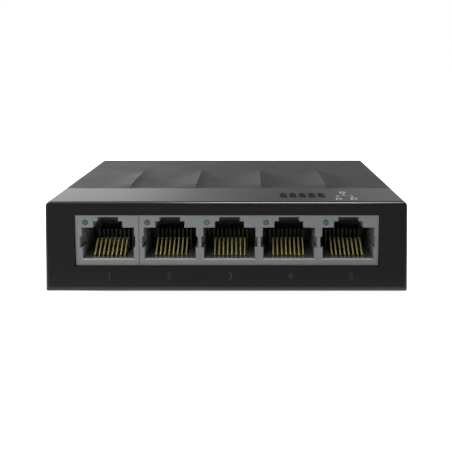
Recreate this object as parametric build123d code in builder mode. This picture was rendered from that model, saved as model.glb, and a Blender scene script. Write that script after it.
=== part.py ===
from build123d import *
import os
from math import radians, tan

# Five-port desktop network switch, in millimetres.
# +Z is up and the row of sockets faces -Y. The origin is on the table, under the middle of the case.

# ---------------------------------------------------------------- driving dimensions

# case
case_width = 83.6            # outside, at the foot of the walls
case_depth = 52.2
case_height = 21.0           # from the foot of the walls to the flat top
foot_stand = 0.8             # the rubber feet hold the case this far off the table
wall = 1.6
roof = 1.8
draft = 1.1                  # degrees that each wall leans in
corner_radius = 1.0
top_edge_radius = 0.95
bottom_edge_radius = 0.45
toe_height = 1.45            # the front wall curves under over its last stretch
toe_depth = 0.75
base_thickness = 1.6
fit_gap = 0.15

# raised waves on the lid: distance behind the front face, width of the swell and of the fall, rise
ridges = (-24.9, -8.3, 8.3, 24.9)
wave_stations = (
    (13.8, 8.0, 2.5, 0.03),
    (17.0, 8.5, 2.5, 0.42),
    (25.0, 7.5, 2.5, 0.40),
    (36.0, 4.5, 2.0, 0.02),
)
wave_root = 0.6

# sockets: one single jack and one block of four
single_port = -27.2
block_ports = (-12.95, 0.7, 14.35, 28.0)
ports = (single_port,) + block_ports
jack_left, jack_seam, jack_right = -34.75, -20.08, 35.02
seam_gap = 0.02
window_gap = 0.03            # round the socket faces
face_edge = 0.12             # eased edge round the socket faces and their mouths
peg_radius, peg_length = 1.55, 2.4
jack_bottom, jack_top = 6.8, 18.78
jack_depth = 15.9
jack_recess = 0.45
front_wall = 2.0             # thickness of a socket's own front wall
chamber_depth = 12.2
mouth_floor, mouth_step, mouth_top = 8.4, 11.16, 15.79
mouth_width, mouth_width_low = 12.0, 11.7
relief_top, relief_width, relief_depth = 13.69, 12.86, 3.0
shoulder_top, shoulder_width = 17.28, 6.67
lever_top, lever_width = 18.25, 4.69
latch_width, latch_depth = 7.0, 9.6
carrier_width = 9.4
carrier_gap = 0.05

# contacts: eight gold wires in each socket
wire_pitch = 1.0
wire_wide, wire_thick = 0.36, 0.3
groove_width = 0.6

# port lights
light_offset = -5.2
light_height = 17.03
light_radius = 0.55

# board
board_thickness = 1.6
board_width, board_depth = 78.8, 47.6

# power inlet
inlet_x = 27.0
inlet_width, inlet_height, inlet_depth = 9.0, 10.8, 14.2
inlet_bore, inlet_pin = 3.2, 1.0         # radii
inlet_bore_depth = 9.8

# underside
foot_radius, foot_recess = 4.0, 0.5
feet = {"front_left": (-34.0, -19.3), "front_right": (34.0, -19.3),
        "rear_left": (-29.4, 18.9), "rear_right": (29.4, 18.9)}
case_screws_at = ((-36.6, 21.2), (36.6, 21.2))
board_screws_at = ((-36.2, -7.0), (36.2, -7.0))
board_pegs_at = ((-15.5, 20.5), (9.0, 20.5))
keyholes_at = ((-20.0, 12.5), (20.0, 12.5))
keyhole_radius, keyhole_slot = 3.5, (8.4, 3.6)
tongues_at = (-24.0, 24.0)               # x of the hooks at the base plate's front edge
label_size = (34.0, 20.0, 0.15)
label_at = (0.0, -7.0)

# ---------------------------------------------------------------- derived places

case_bottom = foot_stand
case_top = case_bottom + case_height
front = -case_depth / 2 + case_height / 2 * tan(radians(draft))      # front face at half height
back = -front
base_top = case_bottom + base_thickness
base_width = case_width - 2 * (wall + fit_gap)
base_depth = case_depth - 2 * (wall + fit_gap)
board_top = jack_bottom
board_bottom = board_top - board_thickness
jack_front = front + jack_recess
jack_rear = jack_front + jack_depth
chamber_rear = jack_front + chamber_depth
carrier_front = jack_front + 1.2
carrier_rear = jack_rear - 0.3
tray_top = mouth_floor - 0.06
groove_floor = tray_top - 1.2
run_height = groove_floor + 0.2
block_top = 13.9
comb_top = 12.9
comb_front = chamber_rear - 4.2
tail_rows = (chamber_rear + 0.5, chamber_rear + 2.3)
tail_bottom = board_bottom - 1.3
light_lead_row = jack_rear + 0.8
light_lead_spread = 0.5
inlet_rear = back - 0.45
inlet_front = inlet_rear - inlet_depth
inlet_axis = board_top + 6.4
bore_end = inlet_rear - inlet_bore_depth

# contact spring, as (y, z): bend at the front, knee, free end
spring_root = (carrier_front + 0.3, 8.85)
spring_knee = (carrier_front + 3.4, 11.9)
spring_tip = (carrier_front + 7.65, 10.44)

# inlet leaf spring, as (y, z)
leaf_root = (bore_end - 2.2, 8.4)
leaf_hump = (bore_end + 3.7, 10.7)
leaf_tip = (bore_end + 6.2, 9.8)
leaf_width, leaf_thick = 2.4, 0.3

os.makedirs("parts", exist_ok=True)


def save(piece, label):
    """Name a finished piece and write it to its own file."""
    piece.part.label = label
    export_step(piece.part, f"parts/{label}.step")


def wire_columns(port_x):
    """X of the eight contact wires of the port centred at port_x."""
    return [port_x + (i - 3.5) * wire_pitch for i in range(8)]


def tail_row(i):
    """Y of the row of solder tails that wire i belongs to."""
    return tail_rows[i % 2]


# ---------------------------------------------------------------- case


def make_top_cover():
    """Lid and four walls in one moulding, open underneath."""
    boss_radius, pilot_radius = 2.6, 0.95
    with BuildPart() as cover:
        with BuildSketch(Plane.XY.offset(case_bottom)):
            RectangleRounded(case_width, case_depth, corner_radius)
        extrude(amount=case_height, taper=draft)
        fillet(cover.faces().sort_by(Axis.Z)[-1].edges(), top_edge_radius)
        fillet(cover.faces().sort_by(Axis.Z)[0].edges(), bottom_edge_radius)

        # the front wall curves under at its foot
        foot_line = -case_depth / 2
        with BuildSketch(Plane.YZ):
            with BuildLine():
                TangentArc((foot_line + 0.02, case_bottom + toe_height), (foot_line + toe_depth, case_bottom),
                           tangent=(0, -1))
                Polyline((foot_line + toe_depth, case_bottom), (foot_line + toe_depth, case_bottom - 1),
                         (foot_line - 1, case_bottom - 1), (foot_line - 1, case_bottom + toe_height),
                         (foot_line + 0.02, case_bottom + toe_height))
            make_face()
        extrude(amount=case_width, both=True, mode=Mode.SUBTRACT)

        # hollow
        with BuildSketch(Plane.XY.offset(case_bottom)):
            RectangleRounded(case_width - 2 * wall, case_depth - 2 * wall, corner_radius / 2)
        extrude(amount=case_height - roof, taper=draft, mode=Mode.SUBTRACT)

        # window for the socket faces
        with BuildSketch(Plane.XZ.offset(case_depth / 2 + 1)):
            with Locations(((jack_left + jack_right) / 2, (jack_bottom + jack_top) / 2)):
                Rectangle(jack_right - jack_left + 2 * window_gap, jack_top - jack_bottom + 2 * window_gap)
        extrude(amount=-(wall + 2), mode=Mode.SUBTRACT)

        # opening for the power inlet
        with BuildSketch(Plane.XZ.offset(-(case_depth / 2 + 1))):
            with Locations((inlet_x, board_top + inlet_height / 2)):
                Rectangle(inlet_width + 2 * fit_gap, inlet_height + 2 * fit_gap)
        extrude(amount=wall + 2, mode=Mode.SUBTRACT)

        # cooling slots in both side walls
        slot_length, slot_width, slot_pitch, slot_count = 7.5, 1.3, 2.8, 8
        with BuildSketch(Plane.YZ):
            with Locations((4.0, 12.5)):
                with GridLocations(slot_pitch, 1, slot_count, 1):
                    SlotOverall(slot_length, slot_width, rotation=90)
        extrude(amount=case_width, both=True, mode=Mode.SUBTRACT)

        # pockets behind the front wall for the base plate's tongues
        with BuildSketch(Plane.XY.offset(case_bottom + 0.7)):
            with Locations(*((x, -base_depth / 2 - 0.35) for x in tongues_at)):
                Rectangle(6.6, 1.1)
        extrude(amount=1.2, mode=Mode.SUBTRACT)

        # screw bosses, webbed to the rear and side walls
        with BuildSketch(Plane.XY.offset(base_top)):
            with Locations(*case_screws_at):
                Circle(boss_radius)
            for x, y in case_screws_at:
                side = 1 if x > 0 else -1
                with Locations((x + side * 2.2, y)):
                    Rectangle(2.9, 1.0)
                with Locations((x, y + 2.2)):
                    Rectangle(1.0, 2.9)
        extrude(until=Until.NEXT)
        with BuildSketch(Plane.XY.offset(base_top)):
            with Locations(*case_screws_at):
                Circle(pilot_radius)
        extrude(amount=9, mode=Mode.SUBTRACT)

        # ribs inside the lid that bear on the jacks and the board
        with BuildSketch(Plane.XY.offset(case_top - roof + 0.1)):
            with Locations((0, jack_front + 6), (0, jack_front + 13)):
                Rectangle(66, 1.0)
        extrude(amount=-(case_top - roof - jack_top - 0.15), mode=Mode.ADD)

        # waves: a slow swell and a shorter fall meet in a ridge that runs out to the rear
        for ridge in ridges:
            for behind, swell, fall, rise in wave_stations:
                with BuildSketch(Plane.XZ.offset(case_depth / 2 - behind)):
                    with BuildLine():
                        TangentArc((ridge - swell, case_top), (ridge, case_top + rise), tangent=(1, 0))
                        TangentArc((ridge + fall, case_top), (ridge, case_top + rise), tangent=(-1, 0))
                        Polyline((ridge + fall, case_top), (ridge + fall, case_top - wave_root),
                                 (ridge - swell, case_top - wave_root), (ridge - swell, case_top))
                    make_face()
            loft(ruled=True)
    return cover


def make_base_plate():
    """Flat plate that closes the case from below."""
    post_radius, pilot_radius, pin_radius = 2.2, 0.8, 0.9
    with BuildPart() as plate:
        with BuildSketch(Plane.XY.offset(case_bottom)):
            RectangleRounded(base_width, base_depth, 0.8)
        extrude(amount=base_thickness)

        # tongues that hook into the front wall
        with BuildSketch(Plane.XY.offset(case_bottom + 0.8)):
            with Locations(*((x, -base_depth / 2 - 0.2) for x in tongues_at)):
                Rectangle(6.0, 1.0)
        extrude(amount=base_thickness - 0.8)

        # posts under the board, two with screw pilots and two with pegs
        with BuildSketch(Plane.XY.offset(base_top)):
            with Locations(*board_screws_at, *board_pegs_at):
                Circle(post_radius)
        extrude(amount=board_bottom - base_top)
        with BuildSketch(Plane.XY.offset(base_top)):
            with Locations(*board_pegs_at):
                Circle(pin_radius)
        extrude(amount=board_bottom - base_top + board_thickness + 1.0)
        with BuildSketch(Plane.XY.offset(board_bottom)):
            with Locations(*board_screws_at):
                Circle(pilot_radius)
        extrude(amount=-3.2, mode=Mode.SUBTRACT)

        # recesses for the feet and the label
        with BuildSketch(Plane.XY.offset(case_bottom)):
            with Locations(*feet.values()):
                Circle(foot_radius + 0.12)
        extrude(amount=foot_recess, mode=Mode.SUBTRACT)
        with BuildSketch(Plane.XY.offset(case_bottom)):
            with Locations(label_at):
                RectangleRounded(label_size[0] + 0.4, label_size[1] + 0.4, 1.2)
        extrude(amount=0.2, mode=Mode.SUBTRACT)

        # screw holes with sunk heads
        with BuildSketch(Plane.XY.offset(case_bottom)):
            with Locations(*case_screws_at):
                Circle(1.3)
        extrude(amount=base_thickness, mode=Mode.SUBTRACT)
        with BuildSketch(Plane.XY.offset(case_bottom)):
            with Locations(*case_screws_at):
                Circle(2.4)
        extrude(amount=0.9, mode=Mode.SUBTRACT)

        # cooling slots in two groups
        with BuildSketch(Plane.XY.offset(case_bottom)):
            for side in (-1, 1):
                with Locations((side * 27.0, -5.0)):
                    with GridLocations(2.3, 1, 5, 1):
                        SlotOverall(13.0, 1.2, rotation=90)
        extrude(amount=base_thickness, mode=Mode.SUBTRACT)

        # keyholes for hanging the case on two screws
        with BuildSketch(Plane.XY.offset(case_bottom)):
            for x, y in keyholes_at:
                with Locations((x, y)):
                    Circle(keyhole_radius)
                with Locations((x, y + 3.2)):
                    SlotOverall(*keyhole_slot, rotation=90)
        extrude(amount=base_thickness, mode=Mode.SUBTRACT)
    return plate


def make_foot(place):
    """Round rubber foot, sunk into the base plate."""
    with BuildPart() as foot:
        with BuildSketch(Plane.XY):
            with Locations(place):
                Circle(foot_radius)
        extrude(amount=foot_stand + foot_recess)
        chamfer(foot.faces().sort_by(Axis.Z)[0].edges(), 0.35)
    return foot


def make_label():
    """Blank rating label under the base plate."""
    with BuildPart() as label:
        with BuildSketch(Plane.XY.offset(case_bottom + 0.2)):
            with Locations(label_at):
                RectangleRounded(label_size[0], label_size[1], 1.0)
        extrude(amount=-label_size[2])
    return label


def make_case_screws():
    """Two self-tapping screws, driven up through the base plate into the cover."""
    head_face = case_bottom + 0.1
    head_radius, head_height, shank_radius, shank_length = 2.1, 0.8, 0.9, 7.4
    with BuildPart() as screws:
        with BuildSketch(Plane.XY.offset(head_face)):
            with Locations(*case_screws_at):
                Circle(head_radius)
        extrude(amount=head_height)
        with BuildSketch(Plane.XY.offset(head_face + head_height)):
            with Locations(*case_screws_at):
                Circle(shank_radius)
        extrude(amount=shank_length)
        with BuildSketch(Plane.XY.offset(head_face)):
            for place in case_screws_at:
                with Locations(place):
                    Rectangle(2.4, 0.5)
                    Rectangle(0.5, 2.4)
        extrude(amount=0.5, mode=Mode.SUBTRACT)
    return screws


# ---------------------------------------------------------------- board


def make_circuit_board():
    """Bare board with every drilled hole."""
    with BuildPart() as board:
        with BuildSketch(Plane.XY.offset(board_bottom)):
            Rectangle(board_width, board_depth)
            for x, y in case_screws_at:
                side = 1 if x > 0 else -1
                with Locations((x + side * 0.6, y + 0.8)):
                    Rectangle(7.6, 8.4, mode=Mode.SUBTRACT)
            with Locations(*board_screws_at, *board_pegs_at):
                Circle(1.15, mode=Mode.SUBTRACT)
            for port_x in ports:
                for i, x in enumerate(wire_columns(port_x)):
                    with Locations((x, tail_row(i))):
                        Circle(0.4, mode=Mode.SUBTRACT)
                for side in (-1, 1):
                    with Locations((port_x + light_offset + side * light_lead_spread, light_lead_row)):
                        Circle(0.35, mode=Mode.SUBTRACT)
            with Locations(*jack_pegs_at(single_port), *jack_pegs_at(block_ports[0]),
                           *jack_pegs_at(block_ports[-1])):
                Circle(peg_radius + 0.1, mode=Mode.SUBTRACT)
            for x, y, turn in inlet_tails():
                with Locations((x, y)):
                    Rectangle(3.0, 1.0, rotation=turn, mode=Mode.SUBTRACT)
        extrude(amount=board_thickness)
    return board


def make_board_screws():
    """Two screws that hold the board to the base plate's posts."""
    head_radius, head_height, shank_radius, shank_length = 2.0, 1.2, 0.78, 4.6
    with BuildPart() as screws:
        with BuildSketch(Plane.XY.offset(board_top)):
            with Locations(*board_screws_at):
                Circle(head_radius)
        extrude(amount=head_height)
        fillet(screws.faces().sort_by(Axis.Z)[-2:].edges(), 0.5)
        with BuildSketch(Plane.XY.offset(board_top)):
            with Locations(*board_screws_at):
                Circle(shank_radius)
        extrude(amount=-shank_length)
        with BuildSketch(Plane.XY.offset(board_top + head_height)):
            for place in board_screws_at:
                with Locations(place):
                    Rectangle(2.2, 0.5)
                    Rectangle(0.5, 2.2)
        extrude(amount=-0.6, mode=Mode.SUBTRACT)
    return screws


# ---------------------------------------------------------------- sockets


def jack_pegs_at(port_x):
    """Places of the two moulded pegs under the port centred at port_x."""
    return [(port_x - 5.0, jack_front + 8.6), (port_x + 5.0, jack_front + 8.6)]


def make_jack_housing(left, right, port_places, peg_ports):
    """Moulded socket block from left to right, with one stepped mouth for each port."""
    with BuildPart() as housing:
        with BuildSketch(Plane.XY.offset(jack_bottom)):
            with Locations(((left + right) / 2, (jack_front + jack_rear) / 2)):
                Rectangle(right - left, jack_depth)
        extrude(amount=jack_top - jack_bottom)

        # moulded pegs that locate the block on the board
        with BuildSketch(Plane.XY.offset(jack_bottom)):
            for port_x in peg_ports:
                with Locations(*jack_pegs_at(port_x)):
                    Circle(peg_radius)
        extrude(amount=-peg_length)

        face = Plane.XZ.offset(-jack_front)
        for port_x in port_places:
            # plug chamber
            with BuildSketch(face):
                with Locations((port_x, (mouth_floor + mouth_step) / 2)):
                    Rectangle(mouth_width_low, mouth_step - mouth_floor)
                with Locations((port_x, (mouth_step + mouth_top) / 2)):
                    Rectangle(mouth_width, mouth_top - mouth_step)
            extrude(amount=-chamber_depth, mode=Mode.SUBTRACT)
            # side reliefs just inside the mouth, where the wall beside the last port allows
            with BuildSketch(face):
                reach = min(relief_width / 2, right - 0.9 - port_x)
                with Locations(((port_x + (reach - relief_width / 2) / 2), (mouth_step + relief_top) / 2)):
                    Rectangle(reach + relief_width / 2, relief_top - mouth_step)
            extrude(amount=-relief_depth, mode=Mode.SUBTRACT)
            # stepped latch notch through the front wall
            with BuildSketch(face):
                with Locations((port_x, (mouth_top + shoulder_top) / 2 - 0.5)):
                    Rectangle(shoulder_width, shoulder_top - mouth_top + 1)
                with Locations((port_x, (mouth_top + lever_top) / 2)):
                    Rectangle(lever_width, lever_top - mouth_top)
            extrude(amount=-front_wall - 0.1, mode=Mode.SUBTRACT)
            # latch pocket behind the front wall
            with BuildSketch(Plane.XZ.offset(-(jack_front + front_wall))):
                with Locations((port_x, (mouth_top + lever_top) / 2)):
                    Rectangle(latch_width, lever_top - mouth_top + 0.02)
            extrude(amount=-(latch_depth - front_wall), mode=Mode.SUBTRACT)
            # bay for the contact carrier, open to the board and to the rear
            bay_width = carrier_width + 2 * carrier_gap
            with BuildSketch(Plane.XY.offset(jack_bottom)):
                with Locations((port_x, (carrier_front - carrier_gap + jack_rear) / 2)):
                    Rectangle(bay_width, jack_rear - carrier_front + carrier_gap)
            extrude(amount=mouth_floor - jack_bottom, mode=Mode.SUBTRACT)
            with BuildSketch(Plane.XZ.offset(-jack_rear)):
                with Locations((port_x, (jack_bottom + block_top + carrier_gap) / 2)):
                    Rectangle(bay_width, block_top + carrier_gap - jack_bottom)
            extrude(amount=jack_rear - chamber_rear, mode=Mode.SUBTRACT)
            # port light: a round hole in the face and a channel behind it
            with BuildSketch(face):
                with Locations((port_x + light_offset, light_height)):
                    Circle(light_radius + 0.03)
            extrude(amount=-1.2, mode=Mode.SUBTRACT)
            with BuildSketch(Plane.XZ.offset(-jack_rear)):
                with Locations((port_x + light_offset, light_height)):
                    Rectangle(1.9, 1.6)
            extrude(amount=jack_depth - 0.95, mode=Mode.SUBTRACT)

        # eased edges
        chamfer(housing.faces().sort_by(Axis.Y)[0].edges(), face_edge)
    return housing


def make_contact_carrier(port_x):
    """Insert that holds one port's eight wires: a grooved tray and an upright block with a comb."""
    with BuildPart() as carrier:
        with BuildSketch(Plane.XY.offset(jack_bottom)):
            with Locations((port_x, (carrier_front + carrier_rear) / 2)):
                Rectangle(carrier_width, carrier_rear - carrier_front)
        extrude(amount=tray_top - jack_bottom)
        # grooves for the wires, and holes for their tails
        with BuildSketch(Plane.XY.offset(groove_floor)):
            for x in wire_columns(port_x):
                with Locations((x, (carrier_front + carrier_rear - 0.4) / 2)):
                    Rectangle(groove_width, carrier_rear - 0.4 - carrier_front)
        extrude(amount=tray_top - groove_floor, mode=Mode.SUBTRACT)
        with BuildSketch(Plane.XY.offset(jack_bottom)):
            for i, x in enumerate(wire_columns(port_x)):
                with Locations((x, tail_row(i))):
                    Rectangle(0.5, 0.5)
        extrude(amount=groove_floor - jack_bottom, mode=Mode.SUBTRACT)
        # upright block
        with BuildSketch(Plane.XY.offset(tray_top)):
            with Locations((port_x, (chamber_rear + carrier_rear) / 2)):
                Rectangle(carrier_width, carrier_rear - chamber_rear)
        extrude(amount=block_top - tray_top)
        # comb that keeps the free ends apart
        tooth = wire_pitch - groove_width
        with BuildSketch(Plane.XY.offset(tray_top)):
            for i in range(9):
                with Locations((port_x + (i - 4) * wire_pitch, (comb_front + chamber_rear) / 2)):
                    Rectangle(tooth, chamber_rear - comb_front)
        extrude(amount=comb_top - tray_top)
    return carrier


def make_contact_springs(port_x):
    """Eight free contact wires of one port, rising from the front bend to the comb."""
    with BuildPart() as springs:
        for x in wire_columns(port_x):
            with BuildSketch(Plane.YZ.offset(x)):
                with BuildLine():
                    FilletPolyline(spring_root, spring_knee, spring_tip, radius=1.2)
                trace(line_width=wire_thick)
                with Locations(spring_root, spring_tip):
                    Circle(wire_thick / 2)
            extrude(amount=wire_wide / 2, both=True)
    return springs


def make_contact_tails(port_x):
    """Fixed part of the same wires: front bend, run through the tray, and tail through the board."""
    with BuildPart() as tails:
        for i, x in enumerate(wire_columns(port_x)):
            bend_y = spring_root[0]
            with BuildSketch(Plane.YZ.offset(x)):
                with BuildLine():
                    FilletPolyline((bend_y, spring_root[1] - 0.3), (bend_y, run_height),
                                   (tail_row(i), run_height), (tail_row(i), tail_bottom), radius=0.35)
                trace(line_width=wire_thick)
            extrude(amount=wire_wide / 2, both=True)
    return tails


def make_port_light(port_x):
    """Green light: a round lens in the socket's face, in front of a small block."""
    x = port_x + light_offset
    with BuildPart() as light:
        with BuildSketch(Plane.XZ.offset(-(jack_front - 0.05))):
            with Locations((x, light_height)):
                Circle(light_radius)
        extrude(amount=-1.15)
        with BuildSketch(Plane.XZ.offset(-(jack_front + 1.0))):
            with Locations((x, light_height)):
                Rectangle(1.7, 1.4)
        extrude(amount=-3.0)
    return light


def make_light_leads():
    """Two leads behind each port light, bent down to the board."""
    with BuildPart() as leads:
        for port_x in ports:
            for side in (-1, 1):
                x = port_x + light_offset + side * light_lead_spread
                with BuildSketch(Plane.YZ.offset(x)):
                    with BuildLine():
                        FilletPolyline((jack_front + 4.0, light_height), (light_lead_row, light_height),
                                       (light_lead_row, tail_bottom), radius=0.5)
                    trace(line_width=0.35)
                extrude(amount=0.175, both=True)
    return leads


# ---------------------------------------------------------------- power inlet


def inlet_tails():
    """Places of the inlet's three solder tails, each as x, y and turn in degrees."""
    return ((inlet_x, inlet_front - 0.35, 0), (inlet_x, leaf_root[0], 0),
            (inlet_x - inlet_width / 2 - 0.4, inlet_front + 4.0, 90))


def make_inlet_body():
    """Block of the barrel socket, open to the rear of the case."""
    slot_width, flange_length, shoulder_radius, bore_chamfer = 3.2, 3.2, 1.6, 0.4
    with BuildPart() as body:
        with BuildSketch(Plane.XZ.offset(-inlet_front)):
            with Locations((inlet_x, board_top + inlet_height / 2)):
                Rectangle(inlet_width, inlet_height)
        extrude(amount=-inlet_depth)
        shoulders = body.edges().filter_by(Axis.Y).group_by(Axis.Z)[-1]
        fillet(shoulders, shoulder_radius)
        # square flange at the mouth
        with BuildSketch(Plane.XZ.offset(-(inlet_rear - flange_length))):
            with Locations((inlet_x, board_top + inlet_height / 2)):
                Rectangle(inlet_width, inlet_height)
        extrude(amount=-flange_length)
        with BuildSketch(Plane.XZ.offset(-bore_end)):
            with Locations((inlet_x, inlet_axis)):
                Circle(inlet_bore)
        extrude(amount=-inlet_bore_depth, mode=Mode.SUBTRACT)
        chamfer(body.faces().sort_by(Axis.Y)[-1].edges().filter_by(GeomType.CIRCLE), bore_chamfer)
        with BuildSketch(Plane.XZ.offset(-inlet_front)):
            with Locations((inlet_x, inlet_axis)):
                Circle(inlet_pin)
        extrude(amount=-inlet_depth, mode=Mode.SUBTRACT)
        # slot under the bore for the leaf spring
        with BuildSketch(Plane.XY.offset(board_top)):
            with Locations((inlet_x, (leaf_root[0] - 0.6 + leaf_tip[0] + 0.8) / 2)):
                Rectangle(slot_width, leaf_tip[0] + 0.8 - leaf_root[0] + 0.6)
        extrude(amount=inlet_axis - inlet_pin - 1.0 - board_top, mode=Mode.SUBTRACT)
    return body


def make_inlet_pin():
    """Centre pin of the barrel socket."""
    with BuildPart() as pin:
        with BuildSketch(Plane.XZ.offset(-(inlet_front - 0.6))):
            with Locations((inlet_x, inlet_axis)):
                Circle(inlet_pin)
        extrude(amount=-(inlet_depth - 0.6))
        fillet(pin.faces().sort_by(Axis.Y)[-1].edges(), 0.6)
    return pin


def make_inlet_leaf():
    """Leaf spring that presses on the plug's sleeve."""
    with BuildPart() as leaf:
        with BuildSketch(Plane.YZ.offset(inlet_x)):
            with BuildLine():
                FilletPolyline(leaf_root, leaf_hump, leaf_tip, radius=1.4)
            trace(line_width=leaf_thick)
            with Locations(leaf_root):
                Circle(leaf_thick / 2)
        extrude(amount=leaf_width / 2, both=True)
    return leaf


def make_inlet_terminals():
    """Three flat solder terminals of the barrel socket."""
    wide, thick = 2.4, 0.4
    with BuildPart() as terminals:
        # behind the block, round the centre pin
        with BuildSketch(Plane.XZ.offset(-(inlet_front - 0.1))):
            with Locations((inlet_x, (tail_bottom + inlet_axis + 1.8) / 2)):
                Rectangle(wide, inlet_axis + 1.8 - tail_bottom)
            with Locations((inlet_x, inlet_axis)):
                Circle(inlet_pin, mode=Mode.SUBTRACT)
        extrude(amount=thick)
        # under the leaf spring's root
        with BuildSketch(Plane.XZ.offset(-(leaf_root[0] - 0.2))):
            with Locations((inlet_x, (tail_bottom + leaf_root[1] - 0.35) / 2)):
                Rectangle(wide, leaf_root[1] - 0.35 - tail_bottom)
        extrude(amount=-thick)
        # switched contact at the block's side
        side_x, side_y = inlet_tails()[2][:2]
        with BuildSketch(Plane.YZ.offset(side_x - thick / 2)):
            with Locations((side_y, (tail_bottom + board_top + 5.0) / 2)):
                Rectangle(wide, board_top + 5.0 - tail_bottom)
        extrude(amount=thick)
    return terminals


# ---------------------------------------------------------------- components on the board


chip_at, chip_size, chip_thick, chip_standoff = (-6.0, 13.3), 12.0, 1.4, 0.15
lead_pitch, leads_a_side = 0.8, 14
transformer_size = (9.4, 11.4, 5.6)
transformer_row = -1.6
crystal_at, inductor_at = (-24.0, 13.0), (15.5, 12.0)
cans_at = ((35.4, 14.0), (35.4, 7.3))
regulator_at, memory_at, small_outline = (15.5, 19.2), (-31.0, 6.6), (5.0, 4.0, 1.6)


def make_switch_chip():
    """Square packet-switch chip with a first-pin dimple."""
    with BuildPart() as chip:
        with BuildSketch(Plane.XY.offset(board_top + chip_standoff)):
            with Locations(chip_at):
                Rectangle(chip_size, chip_size)
        extrude(amount=chip_thick)
        chamfer(chip.faces().sort_by(Axis.Z)[-1].edges(), 0.2)
        with BuildSketch(Plane.XY.offset(board_top + chip_standoff + chip_thick)):
            with Locations((chip_at[0] - 4.4, chip_at[1] - 4.4)):
                Circle(0.6)
        extrude(amount=-0.15, mode=Mode.SUBTRACT)
    return chip


def side_plane(turn):
    """Upright plane through the chip's centre that looks along one of its sides."""
    out = Vector(1, 0, 0).rotate(Axis.Z, turn)
    return Plane(origin=(*chip_at, board_top), x_dir=out, z_dir=out.cross(Vector(0, 0, 1)))


def make_chip_leads():
    """Gull-wing leads on the chip's four sides."""
    half, reach, thick = chip_size / 2, 1.1, 0.18
    profile = ((half, 0.85), (half + 0.35, 0.85), (half + 0.6, thick / 2), (half + reach, thick / 2))
    with BuildPart() as leads:
        for turn in range(4):
            for i in range(leads_a_side):
                along = (i - (leads_a_side - 1) / 2) * lead_pitch
                with BuildSketch(side_plane(90 * turn).offset(along)):
                    with BuildLine():
                        Polyline(*profile)
                    trace(line_width=thick)
                extrude(amount=0.16, both=True)
    return leads


def make_line_transformer(port_x):
    """Moulded line transformer behind one port."""
    with BuildPart() as transformer:
        with BuildSketch(Plane.XY.offset(board_top + 0.2)):
            with Locations((port_x, transformer_row)):
                Rectangle(transformer_size[0] - 1.6, transformer_size[1])
        extrude(amount=transformer_size[2] - 0.2)
        chamfer(transformer.faces().sort_by(Axis.Z)[-1].edges(), 0.35)
    return transformer


def make_transformer_leads():
    """Flat leads along both long sides of every line transformer."""
    with BuildPart() as leads:
        half = transformer_size[0] / 2
        for port_x in ports:
            for side in (-1, 1):
                with BuildSketch(Plane.XY.offset(board_top)):
                    with Locations((port_x + side * (half - 0.4), transformer_row)):
                        with GridLocations(1, 1.27, 1, 8):
                            Rectangle(0.8, 0.42)
                extrude(amount=0.3)
    return leads


def make_box_part(size, place, lift, edge):
    """Plain moulded package of the given size, standing on the board, with an eased top edge."""
    with BuildPart() as package:
        with BuildSketch(Plane.XY.offset(board_top + lift)):
            with Locations(place):
                Rectangle(size[0], size[1])
        extrude(amount=size[2] - lift)
        chamfer(package.faces().sort_by(Axis.Z)[-1].edges(), edge)
    return package


def make_crystal():
    """Low metal can of the clock crystal."""
    with BuildPart() as crystal:
        with BuildSketch(Plane.XY.offset(board_top)):
            with Locations(crystal_at):
                SlotOverall(11.2, 4.7)
        extrude(amount=0.6)
        with BuildSketch(Plane.XY.offset(board_top + 0.6)):
            with Locations(crystal_at):
                SlotOverall(10.4, 3.9)
        extrude(amount=3.0)
        fillet(crystal.faces().sort_by(Axis.Z)[-1].edges(), 0.5)
    return crystal


def make_power_inductor():
    """Round choke on a square foot."""
    with BuildPart() as inductor:
        with BuildSketch(Plane.XY.offset(board_top)):
            with Locations(inductor_at):
                Rectangle(6.0, 6.0)
        extrude(amount=0.7)
        with BuildSketch(Plane.XY.offset(board_top + 0.7)):
            with Locations(inductor_at):
                Circle(2.2)
        extrude(amount=1.6)
        with BuildSketch(Plane.XY.offset(board_top + 2.3)):
            with Locations(inductor_at):
                Circle(2.9)
        extrude(amount=0.7)
    return inductor


def make_electrolytics():
    """Two upright electrolytic cans beside the power inlet."""
    with BuildPart() as cans:
        with BuildSketch(Plane.XY.offset(board_top)):
            with Locations(*cans_at):
                Rectangle(6.6, 6.6)
        extrude(amount=1.0)
        with BuildSketch(Plane.XY.offset(board_top + 1.0)):
            with Locations(*cans_at):
                Circle(3.1)
        extrude(amount=6.4)
        fillet(cans.faces().sort_by(Axis.Z)[-2:].edges(), 0.4)
    return cans


def make_chip_parts(places, size):
    """Row of tiny surface parts of one size."""
    with BuildPart() as parts:
        with BuildSketch(Plane.XY.offset(board_top)):
            with Locations(*places):
                Rectangle(size[0], size[1])
        extrude(amount=size[2])
    return parts


# ---------------------------------------------------------------- write every piece

save(make_top_cover(), "top_cover")
save(make_base_plate(), "base_plate")
for name, place in feet.items():
    save(make_foot(place), f"{name}_foot")
save(make_label(), "rating_label")
save(make_case_screws(), "case_screws")
save(make_circuit_board(), "circuit_board")
save(make_board_screws(), "board_screws")

save(make_jack_housing(jack_left, jack_seam - seam_gap, (single_port,), (single_port,)),
     "single_jack_housing")
save(make_jack_housing(jack_seam + seam_gap, jack_right, block_ports, (block_ports[0], block_ports[-1])),
     "four_jack_housing")
for number, port_x in enumerate(ports, start=1):
    save(make_contact_carrier(port_x), f"port_{number}_contact_carrier")
    save(make_contact_springs(port_x), f"port_{number}_contact_springs")
    save(make_contact_tails(port_x), f"port_{number}_contact_tails")
    save(make_port_light(port_x), f"port_{number}_light")
    save(make_line_transformer(port_x), f"port_{number}_line_transformer")
save(make_light_leads(), "light_leads")
save(make_transformer_leads(), "transformer_leads")

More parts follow.
